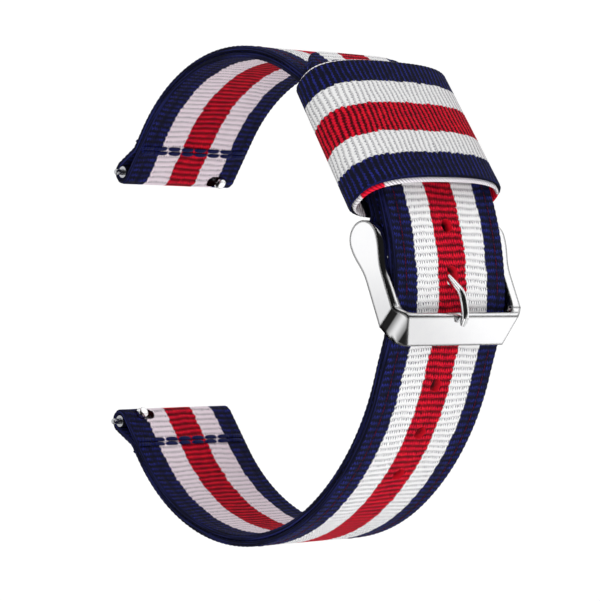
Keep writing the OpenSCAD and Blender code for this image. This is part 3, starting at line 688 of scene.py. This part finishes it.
def polished_material(name, broad, crisp):
    """Polished plated metal: mirror bright, with faint handling marks and a dark line at each edge
    that is painted reflection and shade.

    Polishing leaves the broad front face and the arms' sides flat up to a radius of crisp metres
    at their edges, rounds the narrow faces between them over broad metres, and domes the facets
    at the lower corners: there the normal leans outwards in proportion to the place across.
    """
    t = Tree(name, Metallic=1.0)
    where = t.place()
    marks = t.noise(where, 700.0, 4.0)
    face = t.node("ShaderNodeNewGeometry", output="True Normal")
    sharp = t.node("ShaderNodeBevel", {"samples": 6}, {"Radius": crisp})
    rounded = t.node("ShaderNodeBevel", {"samples": 8}, {"Radius": broad})
    x, y, z = t.split(face)
    facet = toward(FACET_WAY, x, y, z.abs()).step(0.9, 0.97)
    flat = (toward(FRONT_WAY, x, y, z).step(0.97, 0.99) + z.abs().step(0.97, 0.99) + facet).clamp()
    # A Mix node's vectors are its sockets 4 and 5, and its output 1. A dot product's is 1 too
    soft = t.node("ShaderNodeMix", {"data_type": "VECTOR"}, {0: flat, 4: rounded, 5: sharp}, 1)
    out = t.split(where)[2]
    lean = (out.abs() - FACET_Z * MM) * FACET_DOME * facet
    dome = t.vector(lean * DOME_X, 0.0, lean * DOME_Z * (out.above(0.0) * 2.0 - 1.0))
    bent = t.node("ShaderNodeVectorMath", {"operation": "ADD"}, {0: soft, 1: dome})
    t.out("Normal", t.node("ShaderNodeVectorMath", {"operation": "NORMALIZE"}, {0: bent}))
    match = t.node("ShaderNodeVectorMath", {"operation": "DOT_PRODUCT"}, {0: face, 1: sharp}, 1)
    # Painted reflection and shade: where the bevelled normal turns from the face, the base colour
    # goes nearly black
    edge = (1.0 - match).step(0.0015, 0.008)
    bright = t.mix(marks, srgb(250, 250, 252), srgb(255, 255, 255))
    t.out("Base Color", t.mix(edge * 0.9, bright, srgb(20, 20, 22)))
    t.out("Roughness", 0.02 + marks * 0.04)
    return t.mat


def turned_material(name):
    """Turned steel: fine rings round the bar's axis."""
    t = Tree(name, Metallic=1.0)
    z = t.split(t.place())[2]
    rings = t.noise(t.vector(z * 9000.0, 0.0), 1.0)
    t.out("Base Color", t.mix(rings, srgb(168, 170, 174), srgb(214, 215, 218)))
    t.out("Roughness", 0.22 + rings * 0.12)
    return t.mat


cut_edge = cut_face_shade_material("cut_edge_painted_shade_and_glow")
navy_thread = thread_material("navy_thread", srgb(8, 10, 34), srgb(24, 32, 92))
red_thread = thread_material("red_thread", srgb(30, 6, 26), srgb(96, 10, 40))
chrome = polished_material("polished_plating", 0.0009, 0.0005)
bright_wire = polished_material("polished_wire", 0.0004, 0.0001)
steel = turned_material("turned_steel")


def dress(obj, material, body, slot, *replaced):
    """Gives a piece its material and body, and hides the CAD nodes it stands for. Its slot is not
    used.
    """
    if not obj.data.materials:
        obj.data.materials.append(material)
    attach(obj, body)
    if replaced:
        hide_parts(*replaced)


# The straps, cut and dressed

def radial_cutter(name, angle_from, angle_to, d):
    """Cutter for a hole or slot through the tail, along its radius, between two angles."""
    mid = math.radians((angle_from + angle_to) / 2)
    a, b = polar(TAIL_R, angle_from), polar(TAIL_R, angle_to)
    return slot_cutter(name, (*a, 0), (*b, 0), d / 2, (math.cos(mid), math.sin(mid), 0), 8.0)


def knob_cutter(name, bar, lean, side):
    """Cutter for the release knob's window in the inner ply, at the strap's edge on that side."""
    way = polar(1.0, lean)
    middle = bar - way * FOLD_R
    near, far = side * KNOB_Z, side * (KNOB_Z - KNOB_TRAVEL)
    return slot_cutter(name, (*middle, near), (*middle, far), KNOB_SLOT / 2, (*way, 0), 2.6)


def fold_at(line):
    """Length along a strap's line at which it turns round the watch bar: its least x."""
    return float(line[:, 0].argmin()) * ROW_STEP


# The share of a round hole that its fibres leave open, how far the used one is drawn out, and a
# hair's breadth in degrees
HOLE_OPEN, SLOT_BELOW, SLOT_ABOVE, HAIR = 0.92, 0.05, 0.85, 0.01


def hole_cutters():
    """Cutters for the round holes and for the used one, which the tongue has drawn out.

    A round hole is a slot too, a hair of a degree long, so that it has a direction.
    """
    holes = []
    for i in range(-HOLES_BELOW, HOLES_ABOVE + 1):
        if i != 0:
            at, name = USED_HOLE + i * tail_angle(HOLE_PITCH), f"hole_{i + HOLES_BELOW}"
            holes.append(radial_cutter(name, at, at + HAIR, HOLE_D * HOLE_OPEN))
    low, high = USED_HOLE - tail_angle(SLOT_BELOW), USED_HOLE + tail_angle(SLOT_ABOVE)
    return holes + [radial_cutter("hole_used", low, high, HOLE_D)]


def dress_strap(strap, line, name, cutters, node):
    """Cuts a strap, and gives it its webbing and the CAD node it stands for."""
    cloth = webbing_material(name, 2.5, 6.4, inner_to=fold_at(line))
    strap.data.materials.append(cloth)
    cut(strap, cutters, cut_edge)
    dress(strap, cloth, "straps", "webbing", node)


strap, strap_line = buckle_strap()
ring_window = slot_cutter("ring_window", (*PIN, 0), (*PIN, 0), FOLD_R + 1.0, (0, 0, 1), RING_WINDOW)
upper_window = knob_cutter("upper_window", UPPER_BAR, UPPER_LEAN, -1)
dress_strap(strap, strap_line, "short_strap_webbing", [ring_window, upper_window], "buckle_strap")

tail, tail_line = hole_strap()
lower_window = knob_cutter("lower_window", LOWER_BAR, LOWER_LEAN, 1)
dress_strap(tail, tail_line, "long_strap_webbing", hole_cutters() + [lower_window], "hole_strap")


# Keeper

STACK_OUT = TAIL_R + STRAP_T
STACK_IN = math.sqrt(LOOP_R ** 2 - (KEEPER_LEN / 2) ** 2)
KEEPER_MID = (STACK_OUT + STACK_IN) / 2
KEEPER_IN_W = STRAP_W / 2 + KEEPER_SIDE
KEEPER_CORNER = (STACK_OUT - STACK_IN) / 2 - 0.12 + KEEPER_GAP
KEEPER_SHARE = 1 - (STRAP_W / 2 / KEEPER_IN_W) ** KEEPER_SQUARE
KEEPER_IN_T = KEEPER_CORNER / KEEPER_SHARE ** (1 / KEEPER_SQUARE)
KEEPER_OUT, KEEPER_UP = polar(1.0, KEEPER_ANGLE), polar(1.0, KEEPER_ANGLE + 90)
KEEPER_RIB, KEEPER_EDGE = 0.79, 12.4
LINING = 0.4
WEB_HALF, LINING_HALF = KEEPER_LEN / 2 - 0.1, KEEPER_LEN / 2 + 0.35


def oval(half_t, half_len, n=720):
    """Superellipse outline: the sine and cosine of a turn raised to 2 over its squareness."""
    a = np.linspace(0, 2 * math.pi, n, endpoint=False)
    c, s = np.cos(a), np.sin(a)
    bent = [np.sign(v) * np.abs(v) ** (2 / KEEPER_SQUARE) for v in (c, s)]
    return np.stack([half_t * bent[0], half_len * bent[1]], axis=1)


def keeper_shape(points):
    """Leans the keeper and bellies its near side.

    Its lower edge drops by the square of the nearness, and both sides move nearer in
    proportion to how low they are, the near one more.
    """
    n = points[..., 0] * KEEPER_OUT[0] + points[..., 1] * KEEPER_OUT[1]
    y = points[..., 0] * KEEPER_UP[0] + points[..., 1] * KEEPER_UP[1]
    z = points[..., 2]
    low = 0.5 - y / KEEPER_LEN
    near = np.clip((z + KEEPER_EDGE) / (2 * KEEPER_EDGE), 0, 1)
    y = y - low * 0.7 * near ** 2
    z = z + near * (0.4 + 1.6 * low) + (1 - near) * (0.9 * low - 0.1)
    flat = n[..., None] * KEEPER_OUT + y[..., None] * KEEPER_UP
    return np.concatenate([flat, z[..., None]], axis=-1)


def keeper_ply(name, off, thick, half_w, inward, seed):
    """One ply of the keeper: webbing round the oval, off from its inside, and its length."""
    ring = oval(KEEPER_IN_T + off, KEEPER_IN_W + off)
    if not inward:
        ring = ring[::-1]
    line, at = even(ring, closed=True, soften=7)
    basis = ((*(KEEPER_MID * KEEPER_OUT), 0), (*KEEPER_OUT, 0), (0, 0, 1))
    ply = webbing(name, line, at, True, half_w, thick, seed, basis, KEEPER_RIB, shape=keeper_shape)
    return ply, at[-1] + at[1]


keeper, _ = keeper_ply("keeper_webbing", KEEPER_T - 0.25, 0.5, WEB_HALF, False, 37)
# The keeper's tone of 0.84 darkens its webbing as painted shade
keeper_cloth = webbing_material("keeper_webbing", 2.3, 5.9, -0.15, seams=False,
                                half_w=WEB_HALF, weave=0.35, tone=0.84)
dress(keeper, keeper_cloth, "keeper", "webbing", "keeper")
lining, lining_length = keeper_ply("keeper_lining", LINING / 2, LINING, LINING_HALF, True, 41)
dress(lining, lining_material("lining_tape", lining_length), "keeper", "webbing")


# Stitches

STITCH_LEN, STITCH_PITCH, THREAD_W, THREAD_H = 2.3, 2.42, 0.64, 0.3
ROW_GAP, ROW_SHIFT, ROW_FROM_BAR, TIP_ROW = 0.74, 0.35, 4.6, 3.0
# Running stitches: length, thread's width, depth below the face, and every second rib
RUN_LEN, RUN_W, RUN_SUNK, RUN_STEP = 1.8, 0.13, 0.06, 2 * RIB_STEPS


def with_z(flat, z):
    """2D points or ways with a third number."""
    return np.concatenate([flat, np.full((len(flat), 1), z)], axis=1)


def stitches(name, centres, ways, normals, length, width, height, rings=9, sides=8):
    """Sewn stitches: each one a spindle along its way, lying on a face.

    A ring's size is the square root of one minus the fourth power of its place from -1 to 1,
    and its ends dip into the cloth with the square of that place.
    """
    centres, ways, normals = (np.asarray(v, float) for v in (centres, ways, normals))
    across = np.cross(normals, ways)
    t = np.linspace(-0.985, 0.985, rings)
    a = np.linspace(0, 2 * math.pi, sides, endpoint=False)
    size = np.sqrt(1 - t ** 4)
    lift = height * (0.5 - 0.6 * t ** 2)
    along = (t * length / 2)[:, None] + 0 * a
    wide = size[:, None] * np.cos(a) * width / 2
    tall = size[:, None] * np.sin(a) * height / 2 + lift[:, None]
    count, m = len(centres), rings * sides
    points = centres[:, None, :]
    for part, way in ((along, ways), (wide, across), (tall, normals)):
        points = points + part.reshape(1, m, 1) * way[:, None, :]
    one = grid_faces(rings, sides, False, True)
    faces = (one[None] + (np.arange(count) * m)[:, None, None]).reshape(-1, 4)
    uv = np.stack([np.repeat(t * length / 2, sides), np.tile(a / (2 * math.pi), rings)], axis=-1)
    obj = new_mesh(name, points.reshape(-1, 3), faces, {"thread": uv[faces % m]})
    close_ends(obj, turn_out=True)
    return obj


def row(point, normal, count, start=0.0):
    """Centres, ways and normals of a row of stitches across the strap.

    It runs through a 2D point with a 2D normal, start off its middle.
    """
    z = (np.arange(count) - (count - 1) / 2) * STITCH_PITCH + start
    centres = np.stack([np.full(count, point[0]), np.full(count, point[1]), z], axis=1)
    return centres, np.tile([0.0, 0.0, 1.0], (count, 1)), np.tile([*normal, 0.0], (count, 1))


def lug_rows(bar, lean, across):
    """The double rows on both faces of a lug end, on the side that across turns to."""
    way, back = polar(1.0, lean), polar(1.0, lean + across)
    rows = []
    for k in range(2):
        for off, sign in ((STRAP_T - FOLD_R, 1), (-FOLD_R, -1)):
            point = bar + back * (ROW_FROM_BAR + k * ROW_GAP) + way * off
            rows.append(row(point, way * sign, 8, ROW_SHIFT * k))
    return rows


def fold_rows():
    """The double row on the inside of the short strap, behind the buckle."""
    rows = []
    for k in range(2):
        at = PIN_ANGLE + math.degrees((ROW_FROM_BAR + k * ROW_GAP) / LOOP_R)
        rows.append(row(polar(LOOP_R, at), -polar(1.0, at), 8, ROW_SHIFT * k))
    return rows


def tip_rows():
    """The single row across the tail's tip."""
    at = TIP_ANGLE - tail_angle(TIP_ROW)
    return [row(polar(STACK_OUT, at), polar(1.0, at), 5)]


def keeper_rows():
    """The keeper's closing seam, two rows along its length on its inner wall."""
    y = (np.arange(8) - 3.5) * STITCH_PITCH
    base = KEEPER_OUT * (KEEPER_MID - KEEPER_IN_T - KEEPER_T)
    ways = np.tile([*KEEPER_UP, 0.0], (8, 1))
    normals = np.tile([*-KEEPER_OUT, 0.0], (8, 1))
    flat = base + KEEPER_UP * y[:, None]
    return [(with_z(flat, side * ROW_GAP / 2), ways, normals) for side in (-1, 1)]


def sew(name, rows, body, node):
    """Stitches of these rows, standing for a CAD node."""
    obj = stitches(name, *(np.vstack(v) for v in zip(*rows)), STITCH_LEN, THREAD_W, THREAD_H)
    dress(obj, navy_thread, body, "thread", node)


sew("upper_lug_sewing", lug_rows(UPPER_BAR, UPPER_LEAN, -90), "straps", "upper_lug_stitches")
sew("lower_lug_sewing", lug_rows(LOWER_BAR, LOWER_LEAN, 90), "straps", "lower_lug_stitches")
sew("buckle_fold_sewing", fold_rows(), "straps", "buckle_fold_stitches")
sew("tail_tip_sewing", tip_rows(), "straps", "tail_tip_stitches")


def edge_run(name, line, closed, mirror, hidden):
    """Running stitches along both edges of a strap's outer ply, but not between two angles.

    They are thin threads that follow the webbing's face, at even steps of its line.
    """
    outs = left_normals(line, closed)
    pick = np.arange(len(line) // 2 + RUN_STEP, len(line) - RUN_STEP, RUN_STEP)
    turn = np.degrees(np.arctan2(line[pick, 1], line[pick, 0]))
    pick = pick[(turn < hidden[0]) | (turn > hidden[1])]
    outs = outs[pick]
    ways = np.stack([outs[:, 1], -outs[:, 0]], axis=1)
    points = line[pick] + outs * (PLY / 2 - RUN_SUNK)
    if mirror:
        points, ways, outs = (v * [1, -1] for v in (points, ways, outs))
    sides = [(with_z(points, z), with_z(ways, 0), with_z(outs, 0)) for z in (-SEAM_AT, SEAM_AT)]
    runs = (np.vstack(v) for v in zip(*sides))
    obj = stitches(name, *runs, RUN_LEN, RUN_W, RUN_W, rings=6, sides=6)
    dress(obj, red_thread, "straps", "thread")


edge_run("buckle_strap_edge_sewing", strap_line, True, False, (-90, 20))
edge_run("hole_strap_edge_sewing", tail_line, False, True, (1.5, 10.5))
sew("keeper_sewing", keeper_rows(), "keeper", "keeper_stitches")


# Metal parts keep the CAD's own shapes

METAL = {"buckle_frame": chrome, "buckle_tongue": bright_wire,
         "upper_bar_knob": bright_wire, "lower_bar_knob": bright_wire}
for node_name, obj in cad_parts.items():
    finish = METAL.get(node_name, steel if "bar" in node_name else None)
    if finish:
        obj.data.materials.clear()
        obj.data.materials.append(finish)


# Floor, studio, lamps and camera

def aim(obj, place, target, up=(0, 0, 1)):
    """Puts an object at place, in metres, looking at target with up kept upright."""
    back = (mathutils.Vector(place) - mathutils.Vector(target)).normalized()
    right = mathutils.Vector(up).cross(back).normalized()
    turn = mathutils.Matrix((right, back.cross(right), back)).transposed().to_4x4()
    turn.translation = mathutils.Vector(place)
    obj.matrix_world = turn


def floor_material():
    """A white floor that keeps the object's shadow.

    In polished metal it is grey below the buckle's front, and dark past its near arm.
    """
    t = Tree("floor", Roughness=0.9, Specular_IOR_Level=0.1)
    x, y, _ = t.split(t.place())
    card = (1.0 - y.step(-0.021, -0.008)) * x.step(0.03, 0.04) * 0.22
    dark = x.step(0.051, 0.054) * y.step(-0.002, 0.002) * 0.99
    share = t.ray("Glossy") * (card + dark).clamp()
    tone = t.mix(share, (1.0, 1.0, 1.0), (0.0, 0.0, 0.0))
    t.out("Base Color", t.mix(share, srgb(246, 246, 247), (0.0, 0.0, 0.0)))
    glow = t.node("ShaderNodeEmission", None, {"Color": tone, "Strength": 1.05})
    lit = Sock(t, t.bsdf.outputs[0])
    both = t.node("ShaderNodeMixShader", None, {0: t.seen_or_mirrored() * 0.93, 1: lit, 2: glow})
    surface = next(n for n in t.nodes if n.type == "OUTPUT_MATERIAL").inputs["Surface"]
    t.links.new(both.out, surface)
    return t.mat


class WorldTree(Tree):
    """The studio round the object, with the same helpers as a material."""

    def __init__(self, name):
        self.world = bpy.data.worlds.new(name)
        self.world.use_nodes = True
        self.nodes, self.links = self.world.node_tree.nodes, self.world.node_tree.links
        self.bsdf = next(n for n in self.nodes if n.type == "BACKGROUND")
        self.bsdf.inputs["Color"].default_value = (1, 1, 1, 1)


SKY = 0.62


def studio():
    """White surroundings that light the object at SKY.

    Only polished metal shows the dark screens past the near arm and behind the camera, the dark
    room below the buckle with a soft light strip in it, the dark horizon, and the grey card over
    the far side.
    """
    t = WorldTree("studio")
    x, y, z = t.split(t.place("Generated"))
    past_arm = x.step(0.12, 0.28) * y.step(0.02, 0.12)
    behind = toward((0.70, 0.12, 0.70), x, y, z).step(0.80, 0.84)
    off = (x - 0.15).abs()
    strip = (1.0 - off.step(0.0, 0.22) * 0.7) * (1.0 - off.step(0.19, 0.24)) * 0.8
    below = (1.0 - y.step(-0.4, -0.2)) * (1.0 - strip)
    horizon = 1.0 - z.abs().step(0.05, 0.12)
    screens = (past_arm + behind + below + horizon).clamp() * 0.985
    card = toward((-0.743, 0.0, 0.669), x, y, z).step(0.93, 0.96)
    card = card * (1.0 - y.step(-0.01, 0.022)) * 0.24
    dimmed = t.ray("Glossy") * (screens + card).clamp()
    t.out("Strength", (t.seen_or_mirrored() * (1.0 - SKY) + SKY) * (1.0 - dimmed))
    return t.world


def lamp(name, place, size, power):
    """A square soft light on the object, in metres and watts, that metal doesn't mirror."""
    data = bpy.data.lights.new(name, "AREA")
    data.size, data.energy = size, power
    obj = bpy.data.objects.new(name, data)
    bpy.context.scene.collection.objects.link(obj)
    obj.visible_glossy = False
    aim(obj, place, (0, 0, 0))


FLOOR_HALF, FLOOR_BELOW = 3, 0.0002
FLOOR_CORNERS = (-1, -1), (1, -1), (1, 1), (-1, 1)
floor_z = cad_box[0][2] - FLOOR_BELOW
corners = [(x * FLOOR_HALF, y * FLOOR_HALF, floor_z) for x, y in FLOOR_CORNERS]
floor_mesh = bpy.data.meshes.new("floor")
floor_mesh.from_pydata(corners, [], [(0, 1, 2, 3)])
floor = bpy.data.objects.new("floor", floor_mesh)
bpy.context.scene.collection.objects.link(floor)
floor.data.materials.append(floor_material())
bpy.context.scene.world = studio()
lamp("key", (0.7, -0.42, 0.47), 0.35, 2.9)
lamp("fill", (0.35, 0.6, 0.6), 0.6, 1.9)

# The photograph's camera, fitted to the strap: focal length in picture widths, and where it stands
FOCAL, SENSOR = 2464 / 600, 36
CAMERA_AWAY, CAMERA_TURN = 0.3391, math.radians(48)
LOOK_AT = np.array([0.00758, -0.0007, 0.0])
TO_CAMERA = np.array([math.sin(CAMERA_TURN), 0.0, math.cos(CAMERA_TURN)])
camera_data = bpy.data.cameras.new("camera")
camera_data.sensor_fit = "HORIZONTAL"
camera_data.sensor_width = SENSOR
camera_data.lens = FOCAL * SENSOR
camera_data.clip_start, camera_data.clip_end = 0.01, 20
camera = bpy.data.objects.new("camera", camera_data)
bpy.context.scene.collection.objects.link(camera)
aim(camera, tuple(LOOK_AT + CAMERA_AWAY * TO_CAMERA), tuple(LOOK_AT), up=(0, 1, 0))
bpy.context.scene.camera = camera
bpy.context.scene.view_settings.view_transform = "Standard"
